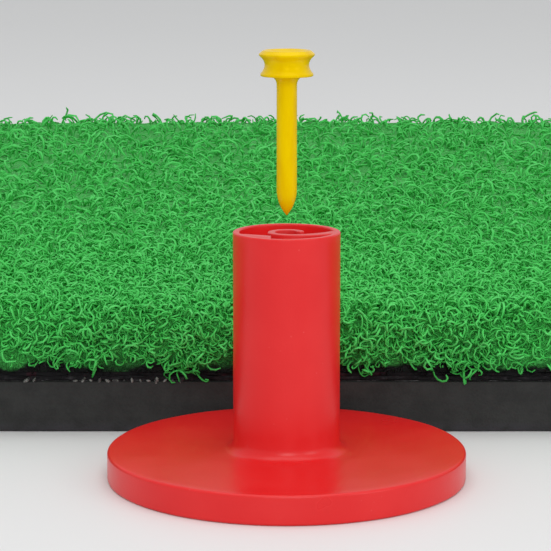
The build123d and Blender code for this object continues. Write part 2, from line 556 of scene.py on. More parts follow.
@dataclass(frozen=True)
class TurfBed(Finish):
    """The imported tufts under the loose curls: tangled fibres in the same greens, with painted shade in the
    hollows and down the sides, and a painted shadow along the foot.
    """

    # The hollow colour is painted shade for the hollows and the sides; the shadow colour is a painted shadow
    # under the tufts at the bed's foot.
    hollow: Colour = (0.008, 0.070, 0.013)
    deep: Colour = (0.052, 0.450, 0.074)
    fibre: Colour = (0.088, 0.620, 0.118)
    shadow: Colour = (0.003, 0.004, 0.004)
    coarse_curl: float = 2.1 * MM
    fine_curl: float = 1.3 * MM
    coarse_width: float = 0.085
    coarse_swirl: float = 1.2
    fine_width: float = 0.11
    fine_swirl: float = 1.5
    fine_share: float = 0.65
    clump_size: float = 6 * MM
    clump_share: float = 0.4
    lit_heights: Step = (0.05, 0.65)
    unlit: float = 0.12
    roughness: float = 0.7
    smoother: float = 0.2
    fibre_depth: float = 0.45 * MM
    foot: float = 11.6 * MM
    foot_edge: float = 1.2 * MM
    foot_rise: float = 5.5 * MM
    foot_wave: float = 4.5 * MM
    specular: float = 0.2

    def dress(self, nodes: ShaderNodes, shader: bpy.types.bpy_prop_collection) -> None:
        """Two layers of curling fibres over painted shade in the hollows, which follows the bed's attribute
        "height", and a painted shadow at the foot.

        Args:
            nodes: Adds nodes to the material's tree.
            shader: The Principled shader's inputs.
        """
        upper = nodes.threads(self.coarse_curl, self.coarse_width, self.coarse_swirl)
        lower = nodes.threads(self.fine_curl, self.fine_width, self.fine_swirl)
        fibres = 1.0 - (1.0 - upper) * (1.0 - self.fine_share * lower)
        clumps = nodes.noise(self.clump_size, 2.0)
        # The attribute "height" is painted light: low in the hollows and down the sides, where shade falls.
        height = nodes.attribute("height") + self.clump_share * (clumps - 0.5)
        lit = nodes.ramp(height, *self.lit_heights)
        hollow = nodes.mix(lit, self.hollow, self.deep)
        tufts = nodes.mix(fibres * (self.unlit + (1.0 - self.unlit) * lit), hollow, self.fibre)
        # Painted shadow under the tufts along the bed's foot, up to a wavy height.
        rise = nodes.height() - self.foot_rise * (nodes.noise(self.foot_wave, 2.0) - 0.45)
        above = nodes.ramp(rise, self.foot, self.foot + self.foot_edge)
        nodes.link(nodes.mix(above, self.shadow, tufts), shader["Base Color"])
        nodes.feed(shader["Roughness"], self.roughness - self.smoother * fibres)
        nodes.link(nodes.bump(fibres, self.fibre_depth), shader["Normal"])


@dataclass(frozen=True)
class TurfFibre(Finish):
    """One curled fibre: a green of its own, paler at the bend, with painted shade at the root and low in the
    pile.
    """

    deep: Colour = (0.058, 0.500, 0.086)
    mid: Colour = (0.076, 0.590, 0.112)
    pale: Colour = (0.108, 0.660, 0.150)
    # The root colour is painted shade, for the root end and for fibres low in the pile.
    root: Colour = (0.045, 0.400, 0.066)
    foot: float = 10 * MM
    crown: float = 15.5 * MM
    mid_shades: Step = (0.0, 0.6)
    pale_shades: Step = (0.55, 1.0)
    pale_bend: Step = (0.2, 0.8)
    root_end: Step = (0.0, 0.35)
    painted_light_at_foot: float = 0.35
    roughness: float = 0.62
    smoother: float = 0.18
    specular: float = 0.12

    def dress(self, nodes: ShaderNodes, shader: bpy.types.bpy_prop_collection) -> None:
        """Colour by the fibre's own number, with painted shade by the distance from its root and by its depth
        in the pile.

        Args:
            nodes: Adds nodes to the material's tree.
            shader: The Principled shader's inputs.
        """
        shade = nodes.attribute("shade")
        along = nodes.attribute("along")
        body = nodes.mix(nodes.ramp(shade, *self.mid_shades), self.deep, self.mid)
        pale = nodes.ramp(shade, *self.pale_shades) * nodes.ramp(along, *self.pale_bend)
        body = nodes.mix(pale, body, self.pale)
        # Painted shade: darker low in the pile, where the fibres above shade the lower ones, and at the root
        # end.
        depth = self.painted_light_at_foot + (1.0 - self.painted_light_at_foot) * nodes.height_above(self.foot, self.crown)
        lit = nodes.ramp(along, *self.root_end) * depth
        nodes.link(nodes.mix(lit, self.root, body), shader["Base Color"])
        nodes.feed(shader["Roughness"], self.roughness - self.smoother * shade)


@dataclass(frozen=True)
class StudioPaper(Finish):
    """The plain pale floor."""

    colour: Colour = (0.79, 0.79, 0.795)
    darker: Colour = (0.71, 0.71, 0.715)
    tone_size: float = 0.25
    tone_share: float = 0.15
    roughness: float = 0.55
    specular: float = 0.3

    def dress(self, nodes: ShaderNodes, shader: bpy.types.bpy_prop_collection) -> None:
        """A barely uneven matte paper.

        Args:
            nodes: Adds nodes to the material's tree.
            shader: The Principled shader's inputs.
        """
        tone = nodes.noise(self.tone_size, 2.0)
        nodes.link(nodes.mix(tone * self.tone_share, self.colour, self.darker), shader["Base Color"])
        shader["Roughness"].default_value = self.roughness


# --- Mesh helpers -------------------------------------------------------------------------------


def linked(name: str, data: bpy.types.ID) -> bpy.types.Object:
    """Puts a mesh, a curve, a camera or a light into the scene as an object."""
    made = bpy.data.objects.new(name, data)
    bpy.context.scene.collection.objects.link(made)
    return made


def mesh_object(
    name: str, vertices: Iterable, faces: Iterable, material: bpy.types.Material
) -> bpy.types.Object:
    """Makes a smooth-shaded object from plain lists.

    Args:
        name: The piece's name.
        vertices: Its corners.
        faces: Its faces, as corner numbers.
        material: Its finish.

    Returns:
        The object, linked to the scene.
    """
    mesh = bpy.data.meshes.new(name)
    mesh.from_pydata(list(vertices), [], list(faces))
    mesh.materials.append(material)
    mesh.shade_smooth()
    return linked(name, mesh)


def object_from(form: bmesh.types.BMesh, name: str, material: bpy.types.Material) -> bpy.types.Object:
    """Turns a form into an object, and frees the form.

    Args:
        form: The finished form.
        name: The piece's name.
        material: Its finish.

    Returns:
        The object, linked to the scene.
    """
    mesh = bpy.data.meshes.new(name)
    form.to_mesh(mesh)
    form.free()
    mesh.materials.append(material)
    return linked(name, mesh)


def sharpen(piece: bpy.types.Object, degrees: float = 35.0) -> None:
    """Keeps edges sharper than an angle crisp, so flats and rounds shade as they should."""
    piece.data.set_sharp_from_angle(angle=math.radians(degrees))


def joined(name: str, pieces: Sequence[bpy.types.Object], material: bpy.types.Material) -> bpy.types.Object:
    """Joins pieces of one material into one mesh and removes them.

    Args:
        name: The joined piece's name.
        pieces: Objects at the origin, the ones with attributes of their own first.
        material: Material of the whole.

    Returns:
        The joined piece.
    """
    form = bmesh.new()
    for piece in pieces:
        form.from_mesh(piece.data)
    for face in form.faces:
        face.material_index = 0
    for piece in pieces:
        bpy.data.objects.remove(piece)
    return object_from(form, name, material)


def rounded_profile(corners: Sequence[tuple[float, float, float]], steps: int = 6) -> Profile:
    """A polyline whose corners are turned into arcs.

    Args:
        corners: (radius, height, corner radius) in order.
        steps: Segments in each arc.

    Returns:
        (radius, height) points.
    """
    points: Profile = []
    count = len(corners)
    for index, (x, z, radius) in enumerate(corners):
        if radius <= 0.0:
            points.append((x, z))
            continue
        here = Vector((x, z))
        before = (Vector(corners[index - 1][:2]) - here).normalized()
        after = (Vector(corners[(index + 1) % count][:2]) - here).normalized()
        half = before.angle(after) / 2.0
        reach = radius / math.tan(half)
        centre = here + (before + after).normalized() * (radius / math.sin(half))
        first = here + before * reach - centre
        last = here + after * reach - centre
        sweep = math.pi - 2.0 * half
        for step in range(steps + 1):
            share = step / steps
            ray = (first * math.sin((1 - share) * sweep) + last * math.sin(share * sweep)) / math.sin(sweep)
            points.append((centre.x + ray.x, centre.y + ray.y))
    return points


def resampled(points: Profile, longest: float, closed: bool) -> Profile:
    """Splits long runs of a polyline so that no run is over a length.

    Args:
        points: The polyline's points.
        longest: The length that no run is over.
        closed: True if a run goes from the last point back to the first.

    Returns:
        The points with the new ones between them.
    """
    result = []
    runs = len(points) if closed else len(points) - 1
    for index in range(runs):
        start, end = points[index], points[(index + 1) % len(points)]
        parts = max(1, math.ceil(math.dist(start, end) / longest))
        for part in range(parts):
            share = part / parts
            result.append(tuple(a + (b - a) * share for a, b in zip(start, end)))
    if not closed:
        result.append(points[-1])
    return result


def lathe(
    name: str,
    profile: Profile,
    centre: Vector,
    segments: int,
    material: bpy.types.Material,
    closed: bool,
) -> bpy.types.Object:
    """Turns a profile about a vertical axis.

    Args:
        name: The piece's name.
        profile: (radius, height above the centre) points, anticlockwise with the axis on the left.
        centre: The foot of the axis.
        segments: Steps round the axis.
        material: The finish.
        closed: True for a ring whose profile closes on itself; else both ends lie on the axis.

    Returns:
        The turned piece, closed and with its faces outwards.
    """
    form = bmesh.new()
    rings = []
    for radius, height in profile:
        if radius < ON_AXIS:
            pole = form.verts.new(centre + Vector((0, 0, height)))
            rings.append([pole] * segments)
            continue
        ring = circle(centre + Vector((0, 0, height)), radius, segments)
        rings.append([form.verts.new(point) for point in ring])
    pairs = list(zip(rings, rings[1:])) + ([(rings[-1], rings[0])] if closed else [])
    for lower, upper in pairs:
        for turn in range(segments):
            following = (turn + 1) % segments
            corners = [lower[turn], lower[following], upper[following], upper[turn]]
            form.faces.new(list(dict.fromkeys(corners)))
    bmesh.ops.recalc_face_normals(form, faces=form.faces)
    piece = object_from(form, name, material)
    piece.data.shade_smooth()
    return piece


def displace(piece: bpy.types.Object, height: Callable[[Vector], float]) -> None:
    """Moves a mesh's corners along their normals, but none below the mesh's own foot.

    Args:
        piece: The piece to make less than perfect.
        height: Says how far a corner moves, from where it is.
    """
    mesh = piece.data
    normals = [normal.vector.copy() for normal in mesh.vertex_normals]
    places = [vertex.co.copy() for vertex in mesh.vertices]
    foot = min(place.z for place in places)
    moved = []
    for place, normal in zip(places, normals):
        after = place + normal * height(place)
        moved += (after.x, after.y, max(after.z, foot))
    mesh.vertices.foreach_set("co", moved)
    mesh.update()


def wobble(piece: bpy.types.Object, size: float, depth: float, seed: float) -> None:
    """Pushes a mesh's corners along their normals by a soft noise.

    Args:
        piece: The piece to make less than perfect.
        size: The size of one lump.
        depth: How far a corner may move either way.
        seed: Shifts the noise.
    """
    shift = Vector((seed, seed * 0.7, seed * 1.3))
    displace(piece, lambda place: depth * noise.noise(place / size + shift))


def slab_outline(length: float, width: float, radius: float, step: float) -> Loop:
    """A rounded rectangle about the origin, anticlockwise, as evenly spaced points.

    Args:
        length: Its size along X.
        width: Its size along Y.
        radius: Its corner radius.
        step: The spacing.

    Returns:
        The outline's points at height 0.
    """
    points = []
    for x_sign, y_sign, turn in ((1, 1, 0), (-1, 1, 90), (-1, -1, 180), (1, -1, 270)):
        corner = Vector((x_sign * (length / 2 - radius), y_sign * (width / 2 - radius), 0))
        for part in range(7):
            angle = math.radians(turn + 15 * part)
            points.append(corner + radius * Vector((math.cos(angle), math.sin(angle), 0)))
    flat = resampled([(point.x, point.y) for point in points], step, closed=True)
    return [Vector((x, y, 0)) for x, y in flat]


def circle(centre: Vector, radius: float, count: int) -> Loop:
    """Evenly spaced points of a level circle."""
    turns = [math.tau * k / count for k in range(count)]
    return [centre + radius * Vector((math.cos(turn), math.sin(turn), 0)) for turn in turns]


def punched_slab(
    name: str, outer: Sequence[Loop], inner: Sequence[Loop], material: bpy.types.Material
) -> bpy.types.Object:
    """A closed slab with a hole, from stacks of loops.

    Args:
        name: The piece's name.
        outer: The outside's loops from the bottom up, each with the same number of points.
        inner: The hole's loops from the bottom up.
        material: The finish.

    Returns:
        The slab, with flat top and bottom.
    """
    form = bmesh.new()
    ends: dict[str, list] = {"bottom": [], "top": []}
    for stack in (outer, inner):
        rows = [[form.verts.new(point) for point in loop] for loop in stack]
        count = len(rows[0])
        for lower, upper in zip(rows, rows[1:]):
            for k in range(count):
                following = (k + 1) % count
                form.faces.new((lower[k], lower[following], upper[following], upper[k]))
        for end, row in (("bottom", rows[0]), ("top", rows[-1])):
            ends[end] += [form.edges.get((row[k], row[(k + 1) % count])) for k in range(count)]
    for edges in ends.values():
        bmesh.ops.triangle_fill(form, edges=edges, use_beauty=True)
    bmesh.ops.recalc_face_normals(form, faces=form.faces)
    piece = object_from(form, name, material)
    piece.data.shade_smooth()
    sharpen(piece)
    return piece


def roughened(loop: Loop, depth: float, size: float, seed: float) -> Loop:
    """Moves a loop's points in and out along the level normal by a noise.

    Args:
        loop: The points, anticlockwise.
        depth: How far a point may move either way.
        size: The size of one wave.
        seed: Shifts the noise.

    Returns:
        The moved points.
    """
    moved = []
    count = len(loop)
    for k, point in enumerate(loop):
        along = (loop[(k + 1) % count] - loop[k - 1]).normalized()
        outward = Vector((along.y, -along.x, 0))
        moved.append(point + outward * depth * noise.noise(point / size + Vector((seed, seed, seed))))
    return moved


def tube(points: Sequence[Vector], radius: float, sides: int) -> Shape:
    """A closed tube along points, tapered a little at its ends.

    Args:
        points: The middle line.
        radius: The tube's radius.
        sides: Corners of its section.

    Returns:
        Its corners, its faces, and each corner's share of the way along.
    """
    corners, faces, shares = [], [], []
    side = Vector((0.31, 0.95, 0.07))
    last = len(points) - 1
    for index, point in enumerate(points):
        along = (points[min(index + 1, last)] - points[max(index - 1, 0)]).normalized()
        side = (side - along * side.dot(along)).normalized()
        across = along.cross(side)
        share = index / last
        girth = radius * (0.6 if index in (0, last) else 1.0)
        for k in range(sides):
            angle = math.tau * k / sides
            corners.append(point + girth * (math.cos(angle) * side + math.sin(angle) * across))
            shares.append(share)
    for index in range(last):
        for k in range(sides):
            following = (k + 1) % sides
            low, high = index * sides, (index + 1) * sides
            faces.append((low + k, low + following, high + following, high + k))
    faces.append(tuple(reversed(range(sides))))
    faces.append(tuple(last * sides + k for k in range(sides)))
    return corners, faces, shares


# --- Scattering with Geometry Nodes -------------------------------------------------------------


class Spread(Enum):
    """What instances are scattered over."""

    SURFACE = "surface"
    EDGE = "edge"


@dataclass
class ScatterTree:
    """A Geometry Nodes group that scatters a collection's shapes over a surface or along an edge.

    Over a surface, the points' density and the shapes' size are the mesh's own attributes "crowd",
    in points per square metre, and "girth". Along an edge, points are evenly spaced and kept by clumps.
    """

    name: str
    spread: Spread
    tree: bpy.types.GeometryNodeTree = field(init=False)
    sockets: dict[str, str] = field(init=False, default_factory=dict)

    def __post_init__(self) -> None:
        """Builds the group."""
        self.tree = bpy.data.node_groups.new(self.name, "GeometryNodeTree")
        nodes = Nodes(self.tree)
        self._input("Geometry", "NodeSocketGeometry")
        self.tree.interface.new_socket("Geometry", in_out="OUTPUT", socket_type="NodeSocketGeometry")
        for label in ("Smallest", "Largest", "Lean", "West", "East", "Clump Size", "Clumps", "Kept"):
            self._input(label, "NodeSocketFloat")
        for label in ("Count", "Seed", "Shapes"):
            self._input(label, "NodeSocketInt")
        self._input("Collection", "NodeSocketCollection")
        self._input("Material", "NodeSocketMaterial")
        given = nodes.add("NodeGroupInput").outputs
        points, rotation = self._points(nodes, given)
        scattered = self._instances(nodes, given, points, rotation)
        nodes.link(scattered, nodes.add("NodeGroupOutput").inputs[0])

    def _input(self, label: str, kind: str) -> None:
        """Adds a named input and keeps its identifier."""
        socket = self.tree.interface.new_socket(label, in_out="INPUT", socket_type=kind)
        self.sockets[label] = socket.identifier

    def _points(
        self, nodes: Nodes, given: bpy.types.bpy_prop_collection
    ) -> tuple[bpy.types.NodeSocket, bpy.types.NodeSocket]:
        """The points and the rotation that stands a shape up on each.

        Args:
            nodes: Adds nodes to the group.
            given: The group's inputs.

        Returns:
            The points' socket and the rotation's.
        """
        place = nodes.add("GeometryNodeInputPosition").outputs[0]
        position = nodes.add("ShaderNodeSeparateXYZ", {}, {0: place})
        if self.spread is Spread.SURFACE:
            x = nodes.number(position, 0)
            inside = (x > Number(nodes, given["West"])) * (x < Number(nodes, given["East"]))
            crowd = nodes.number(self._read(nodes, "crowd"))
            spread = nodes.add(
                "GeometryNodeDistributePointsOnFaces",
                {"distribute_method": "RANDOM"},
                {"Mesh": given["Geometry"], "Density": crowd * inside, "Seed": given["Seed"]},
            )
            return spread.outputs["Points"], spread.outputs["Rotation"]
        line = {"Curve": given["Geometry"], "Count": given["Count"]}
        spread = nodes.add("GeometryNodeCurveToPoints", {"mode": "COUNT"}, line)
        stood = nodes.add(
            "FunctionNodeAxesToRotation",
            {"primary_axis": "Z", "secondary_axis": "X"},
            {"Primary Axis": spread.outputs["Normal"], "Secondary Axis": spread.outputs["Tangent"]},
        )
        return spread.outputs["Points"], stood.outputs[0]

    def _instances(
        self,
        nodes: Nodes,
        given: bpy.types.bpy_prop_collection,
        points: bpy.types.NodeSocket,
        rotation: bpy.types.NodeSocket,
    ) -> bpy.types.NodeSocket:
        """Stands a random shape, turned, leant and sized at random, on each point.

        Args:
            nodes: Adds nodes to the group.
            given: The group's inputs.
            points: The points.
            rotation: What stands a shape up on each.

        Returns:
            The scattered shapes' socket.
        """
        lean = Number(nodes, given["Lean"])
        low = nodes.add("ShaderNodeCombineXYZ", {}, {0: lean * -1.0, 1: lean * -1.0, 2: -math.pi})
        high = nodes.add("ShaderNodeCombineXYZ", {}, {0: lean, 1: lean, 2: math.pi})
        tilt = nodes.add(
            "FunctionNodeRandomValue",
            {"data_type": "FLOAT_VECTOR"},
            {0: low.outputs[0], 1: high.outputs[0], 8: given["Seed"]},
        )
        turned = nodes.add(
            "FunctionNodeRotateRotation", {"rotation_space": "LOCAL"}, {0: rotation, 1: tilt.outputs[0]}
        )
        size = nodes.number(self._random(nodes, given["Smallest"], given["Largest"], given["Seed"]), 1)
        if self.spread is Spread.SURFACE:
            size = size * nodes.number(self._read(nodes, "girth"))
        selection: object = True
        if self.spread is Spread.EDGE:
            clumps = nodes.add(
                "ShaderNodeTexNoise",
                {"noise_dimensions": "4D"},
                {
                    "Vector": nodes.add("GeometryNodeInputPosition").outputs[0],
                    "W": given["Clumps"],
                    "Scale": Number(nodes, given["Clump Size"]) ** -1.0,
                },
            )
            selection = (nodes.number(clumps) < Number(nodes, given["Kept"])).socket
        shapes = nodes.add(
            "GeometryNodeCollectionInfo",
            {},
            {"Collection": given["Collection"], "Separate Children": True, "Reset Children": True},
        )
        pick = nodes.add(
            "FunctionNodeRandomValue",
            {"data_type": "INT"},
            {4: 0, 5: (Number(nodes, given["Shapes"]) - 1.0), 8: given["Seed"]},
        )
        stood = nodes.add(
            "GeometryNodeInstanceOnPoints",
            {},
            {
                "Points": points,
                "Selection": selection,
                "Instance": shapes.outputs[0],
                "Pick Instance": True,
                "Instance Index": pick.outputs[2],
                "Rotation": turned.outputs[0],
                "Scale": size,
            },
        )
        shade = self._random(nodes, 0.0, 1.0, given["Seed"])
        stored = nodes.add(
            "GeometryNodeStoreNamedAttribute",
            {"data_type": "FLOAT", "domain": "INSTANCE"},
            {"Geometry": stood.outputs[0], "Name": "shade", "Value": shade.outputs[1]},
        )
        real = nodes.add("GeometryNodeRealizeInstances", {}, {0: stored.outputs[0]})
        dressed = nodes.add(
            "GeometryNodeSetMaterial", {}, {"Geometry": real.outputs[0], "Material": given["Material"]}
        )
        return dressed.outputs[0]

    @staticmethod
    def _read(nodes: Nodes, name: str) -> bpy.types.Node:
        """A named float attribute."""
        return nodes.add("GeometryNodeInputNamedAttribute", {"data_type": "FLOAT"}, {"Name": name})

    @staticmethod
    def _random(nodes: Nodes, low: object, high: object, seed: object) -> bpy.types.Node:
        """A random float for each point."""
        return nodes.add("FunctionNodeRandomValue", {"data_type": "FLOAT"}, {2: low, 3: high, 8: seed})

    def scatter(self, name: str, ground: bpy.types.ID, values: dict[str, object]) -> bpy.types.Object:
        """Runs the group once and returns its result as a plain mesh.

        Args:
            name: The new piece's name.
            ground: The mesh or curve that is scattered over.
            values: A value for each named input that is used.

        Returns:
            The piece, with no modifier left.
        """
        host = linked(name + "_host", ground)
        modifier = host.modifiers.new("scatter", "NODES")
        modifier.node_group = self.tree
        for label, value in values.items():
            modifier[self.sockets[label]] = value
        bpy.context.view_layer.update()
        evaluated = host.evaluated_get(bpy.context.evaluated_depsgraph_get())
        mesh = bpy.data.meshes.new_from_object(evaluated)
        mesh.name = name
        bpy.data.objects.remove(host)
        return linked(name, mesh)


def shape_collection(name: str, shapes: Sequence[Shape]) -> bpy.types.Collection:
    """A hidden collection of small meshes to scatter.

    Args:
        name: The collection's name.
        shapes: Each shape's corners, its faces, and its corners' attribute "along".

    Returns:
        The collection.
    """
    holder = bpy.data.collections.new(name)
    for index, (corners, faces, shares) in enumerate(shapes):
        mesh = bpy.data.meshes.new(f"{name}_{index:02d}")
        mesh.from_pydata(corners, [], faces)
        mesh.shade_smooth()
        along = mesh.attributes.new("along", "FLOAT", "POINT")
        along.data.foreach_set("value", shares)
        holder.objects.link(bpy.data.objects.new(mesh.name, mesh))
    return holder


def drop_collection(holder: bpy.types.Collection) -> None:
    """Removes a collection and its shapes, once they have been scattered."""
    for shape in list(holder.objects):
        bpy.data.objects.remove(shape)
    bpy.data.collections.remove(holder)


# --- The mat ------------------------------------------------------------------------------------


@dataclass
class Place:
    """Where the frame puts the mat, its hole, the holder and the tee."""

    foam_low: Vector
    foam_high: Vector
    turf_low: Vector
    turf_high: Vector
    hole: Vector
    hole_radius: float
    holder: Vector
    holder_height: float
    tube_radius: float
    foot_radius: float
    tee_low: Vector
    tee_high: Vector

    @classmethod
    def from_frame(cls, frame: dict) -> "Place":
        """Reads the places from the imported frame.


        Returns:
            The places, in metres.
        """
        mounts = {mount["name"]: mount for mount in frame["record"]["mounts"]}
        foam_low, foam_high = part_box("foam_base")
        turf_low, turf_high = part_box("turf_pile")
        holder_low, holder_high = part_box("tee_holder")
        tee_low, tee_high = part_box("tee")
        middle = (holder_low + holder_high) / 2
        hole = mounts["tee_hole"]
        return cls(
            foam_low=foam_low,
            foam_high=foam_high,
            turf_low=turf_low,
            turf_high=turf_high,
            hole=Vector(hole["pos_m"]),
            hole_radius=hole["dims"]["r_mm"] * MM,
            holder=Vector((middle.x, middle.y, holder_low.z)),
            holder_height=holder_high.z - holder_low.z,
            tube_radius=mounts["tee_tube"]["dims"]["r_mm"] * MM,
            foot_radius=(holder_high.x - holder_low.x) / 2,
            tee_low=tee_low,
            tee_high=tee_high,
        )


@dataclass
class FoamBase:
    """The foam slab that the turf is glued to."""

    place: Place
    corner_radius: float = 3 * MM
    step: float = 2.5 * MM
    edge_radius: float = 0.5 * MM
    cut_wave: float = 0.14 * MM
    wave_size: float = 14 * MM
    hole_wave_size: float = 6 * MM
    wave_height: float = 9 * MM
    hole_points: int = 96

    def build(self, finish: Finish) -> list[bpy.types.Object]:
        """Builds the slab with knife-cut sides and a soft lower edge.

        Args:
            finish: The foam's finish.

        Returns:
            The slab, as the only piece.
        """
        low, high = self.place.foam_low, self.place.foam_high
        size = high - low
        profile = [(self.edge_radius, 0.0), (0.15 * self.edge_radius, 0.35 * self.edge_radius)]
        profile += [(0.0, share * size.z) for share in (0.11, 0.28, 0.46, 0.64, 0.82)]
        profile += [(0.1 * self.edge_radius, size.z - 0.2 * self.edge_radius)]
        profile += [(0.5 * self.edge_radius, size.z)]
        outer, inner = [], []
        for setback, height in profile:
            length, width = size.x - 2 * setback, size.y - 2 * setback
            loop = slab_outline(length, width, self.corner_radius, self.step)
            seed = height / self.wave_height
            lifted = [point + Vector((0, 0, low.z + height)) for point in loop]
            outer.append(roughened(lifted, self.cut_wave, self.wave_size, seed))
            ring = circle(self.place.hole, self.place.hole_radius + 0.3 * setback, self.hole_points)
            ring = [point + Vector((0, 0, low.z + height)) for point in ring]
            inner.append(roughened(ring, self.cut_wave, self.hole_wave_size, seed))
        piece = punched_slab("foam_slab", outer, inner, finish.material())
        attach(piece, "mat")
        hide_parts("foam_base")
        return [piece]


@dataclass
class Backing:
    """The latex, the woven cloth and the glue that show in the seam between foam and pile."""

    place: Place
    setback: float = 0.5 * MM
    corner_radius: float = 3 * MM
    curve_step: float = 3 * MM
    step: float = 0.9 * MM
    fray_size: float = 2.2 * MM
    hole_points: int = 120
    variants: int = 5
    thread_spacing: float = 1.3 * MM
    tape_length: float = 1.2 * MM
    tape_root: float = 0.3 * MM
    tape_radius: float = 0.22 * MM
    thread_clump: float = 4 * MM
    glue_spacing: float = 1.5 * MM
    bead_radius: float = 0.42 * MM
    bead_lump: float = 0.5 * MM
    bead_clump: float = 26 * MM

    def build(self, latex: Finish, weave: Finish, glue: Finish) -> list[bpy.types.Object]:
        """Builds the layers, their frayed ends and the glue's beads.

        Args:
            latex: The latex coat's finish.
            weave: The cloth's finish.
            glue: The glue's finish.

        Returns:
            The glue, the latex and the cloth.
        """
        pieces = []
        for node, slot, finish, ragged, seed in (
            ("glue_film", "glue", glue, 0.25 * MM, 3.1),
            ("latex_coat", "latex", latex, 0.45 * MM, 7.7),
            ("backing_cloth", "cloth", weave, 0.35 * MM, 12.9),
        ):
            material = finish.material()
            layer = self._layer(node, ragged, seed, material)
            if node == "glue_film":
                extra = self._beads(material)
            elif node == "backing_cloth":
                extra = self._threads(material)
            else:
                extra = None
            piece = joined(node + "_seam", [extra, layer], material) if extra else layer
            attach(piece, "mat")
            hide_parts(node)
            pieces.append(piece)
        return pieces

    def _layer(self, node: str, ragged: float, seed: float, material: bpy.types.Material) -> bpy.types.Object:
        """One flat layer with a ragged cut edge.

        Args:
            node: The frame's node that the layer follows.
            ragged: How far its edge wanders.
            seed: Shifts the wandering.
            material: Its finish.

        Returns:
            The layer.
        """
        low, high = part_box(node)
        size = high - low
        outer, inner = [], []
        for level in range(4):
            height = low.z + size.z * level / 3
            bulge = 0.25 * ragged * math.sin(math.pi * level / 3)
            loop = slab_outline(size.x + 2 * bulge, size.y + 2 * bulge, self.corner_radius, self.step)
            loop = [point + Vector((0, 0, height)) for point in loop]
            outer.append(roughened(loop, ragged, self.fray_size, seed + 0.35 * level))
            ring = circle(self.place.hole, self.place.hole_radius, self.hole_points)
            ring = [point + Vector((0, 0, height)) for point in ring]
            inner.append(roughened(ring, 0.4 * ragged, self.fray_size, seed))
        return punched_slab(node + "_layer", outer, inner, material)

    def _edge_curve(self, height: float, setback: float) -> bpy.types.Curve:
        """The mat's outline, as a closed curve.

        Args:
            height: Its height above the floor.
            setback: How far inside the mat's sides it is.

        Returns:
            The curve.
        """
        size = self.place.foam_high - self.place.foam_low
        length, width = size.x - 2 * setback, size.y - 2 * setback
        loop = slab_outline(length, width, self.corner_radius, self.curve_step)
        curve = bpy.data.curves.new("mat_edge", "CURVE")
        curve.dimensions = "3D"
        spline = curve.splines.new("POLY")
        spline.points.add(len(loop) - 1)
        spline.points.foreach_set("co", [c for p in loop for c in (p.x, p.y, height, 1.0)])
        spline.use_cyclic_u = True
        return curve

    def _threads(self, material: bpy.types.Material) -> bpy.types.Object:
        """The cloth's cut tapes, sticking out of its edge.

        Args:
            material: The cloth's finish.

        Returns:
            The tapes, as one mesh.
        """
        rng = np.random.default_rng(41)
        shapes = []
        for _ in range(self.variants):
            bend = rng.uniform(-0.5, 0.5, 2) * MM
            line = []
            for t in (0, 0.35, 0.7, 1):
                line.append(Vector((bend[0] * t * t, bend[1] * t * t, self.tape_length * t - self.tape_root)))
            shapes.append(tube(line, self.tape_radius, 4))
        low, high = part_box("backing_cloth")
        middle = (low.z + high.z) / 2
        curve = self._edge_curve(middle, self.setback + 0.1 * MM)
        spread = {
            "Count": self._count("backing_cloth", self.thread_spacing),
            "Smallest": 0.5,
            "Largest": 1.1,
            "Lean": 0.5,
            "Clump Size": self.thread_clump,
            "Kept": 0.5,
            "Seed": 11,
            "Material": material,
        }
        return self._along("cut_tapes", curve, shapes, spread)

    def _beads(self, material: bpy.types.Material) -> bpy.types.Object:
        """Beads of glue squeezed out along the seam.

        Args:
            material: The glue's finish.

        Returns:
            The beads, as one mesh.
        """
        rng = np.random.default_rng(5)
        shapes = []
        for _ in range(self.variants):
            form = bmesh.new()
            bmesh.ops.create_icosphere(form, subdivisions=2, radius=self.bead_radius)
            shift = Vector(rng.uniform(-9, 9, 3))
            for vertex in form.verts:
                vertex.co *= 1.0 + 0.5 * noise.noise(vertex.co / self.bead_lump + shift)
                vertex.co.x *= 1.7
                vertex.co.y *= 0.75
            corners = [vertex.co.copy() for vertex in form.verts]
            faces = [tuple(v.index for v in face.verts) for face in form.faces]
            form.free()
            shapes.append((corners, faces, [0.5] * len(corners)))
        curve = self._edge_curve(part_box("glue_film")[0].z + 0.1 * MM, self.setback - 0.1 * MM)
        spread = {
            "Count": self._count("glue_film", self.glue_spacing),
            "Smallest": 0.3,
            "Largest": 1.3,
            "Lean": 0.25,
            "Clump Size": self.bead_clump,
            "Clumps": 26.0,
            "Kept": 0.41,
            "Seed": 23,
            "Material": material,
        }
        return self._along("glue_beads", curve, shapes, spread)

    @staticmethod
    def _count(node: str, spacing: float) -> int:
        """How many points go round a node's outline at a spacing."""
        low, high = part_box(node)
        return int(2 * (high.x - low.x + high.y - low.y) / spacing)

    @staticmethod
    def _along(
        name: str, curve: bpy.types.Curve, shapes: Sequence[Shape], spread: dict[str, object]
    ) -> bpy.types.Object:
        """Scatters small shapes along the mat's edge.

        Args:
            name: The new piece's name.
            curve: The edge.
            shapes: What is scattered.
            spread: How, as values of the scatter group's inputs.

        Returns:
            The scattered shapes, as one mesh.
        """
        collection = shape_collection(name + "_shapes", shapes)
        values = spread | {"Shapes": len(shapes), "Collection": collection}
        piece = ScatterTree(name + "_spread", Spread.EDGE).scatter(name, curve, values)
        drop_collection(collection)
        return piece


@dataclass(frozen=True)
class CurlZone:
    """One density of curls: how crowded and how large they are, and how far they reach from the front."""

    name: str
    crowd: float
    size: float
    segments: int
    variants: int
    strips: int
    reach: float
    fade: float
    turns: tuple[float, float]


